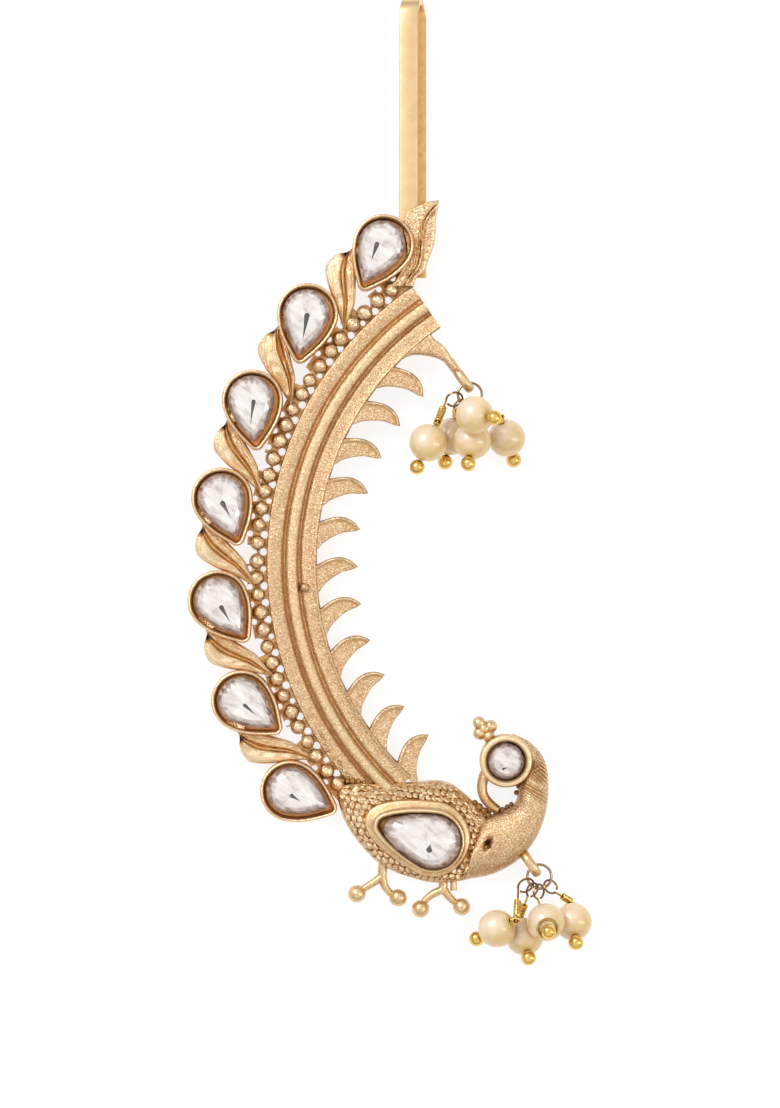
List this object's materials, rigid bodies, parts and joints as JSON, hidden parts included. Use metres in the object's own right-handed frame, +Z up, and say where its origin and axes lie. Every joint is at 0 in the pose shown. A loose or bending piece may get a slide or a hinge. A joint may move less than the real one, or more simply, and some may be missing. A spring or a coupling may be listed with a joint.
{
  "type": "ear cuff",
  "caption": "Curved ear cuff with a barbed band, pear-cut stones in bezel cups, a peacock at its foot, a clip strip and two clusters of pearls, lying on its back",
  "frame": {"origin": "middle of the foot of the bounding box, on the surface that the cuff lies on", "axes": "+Z up out of the cuff's front, +Y from the peacock to the clip, +X from the stones towards the open side"},
  "size_m": [0.0402, 0.0968, 0.0107],
  "materials": {
    "antique_gilt": "matte antique gilding, finely stippled, dark in the recesses",
    "bright_gilt": "polished gilt wire",
    "crystal": "cut, foil-backed, clear to silvery",
    "pearl": "imitation pearl, cream with a soft sheen"
  },
  "bodies": {
    "root": {"cuff_casting": "antique_gilt", "pear_stone_1": "crystal", "pear_stone_2": "crystal", "pear_stone_3": "crystal", "pear_stone_4": "crystal", "pear_stone_5": "crystal", "pear_stone_6": "crystal", "pear_stone_7": "crystal", "body_stone": "crystal", "head_stone": "crystal", "upper_pearl_1": "pearl", "upper_pearl_2": "pearl", "upper_pearl_3": "pearl", "upper_pearl_4": "pearl", "upper_pearl_5": "pearl", "lower_pearl_1": "pearl", "lower_pearl_2": "pearl", "lower_pearl_3": "pearl", "lower_pearl_4": "pearl", "upper_pin_1": "bright_gilt", "upper_pin_2": "bright_gilt", "upper_pin_3": "bright_gilt", "upper_pin_4": "bright_gilt", "upper_pin_5": "bright_gilt", "lower_pin_1": "bright_gilt", "lower_pin_2": "bright_gilt", "lower_pin_3": "bright_gilt", "lower_pin_4": "bright_gilt", "upper_jump_ring": "bright_gilt", "lower_jump_ring": "bright_gilt"}
  },
  "joints": []
}
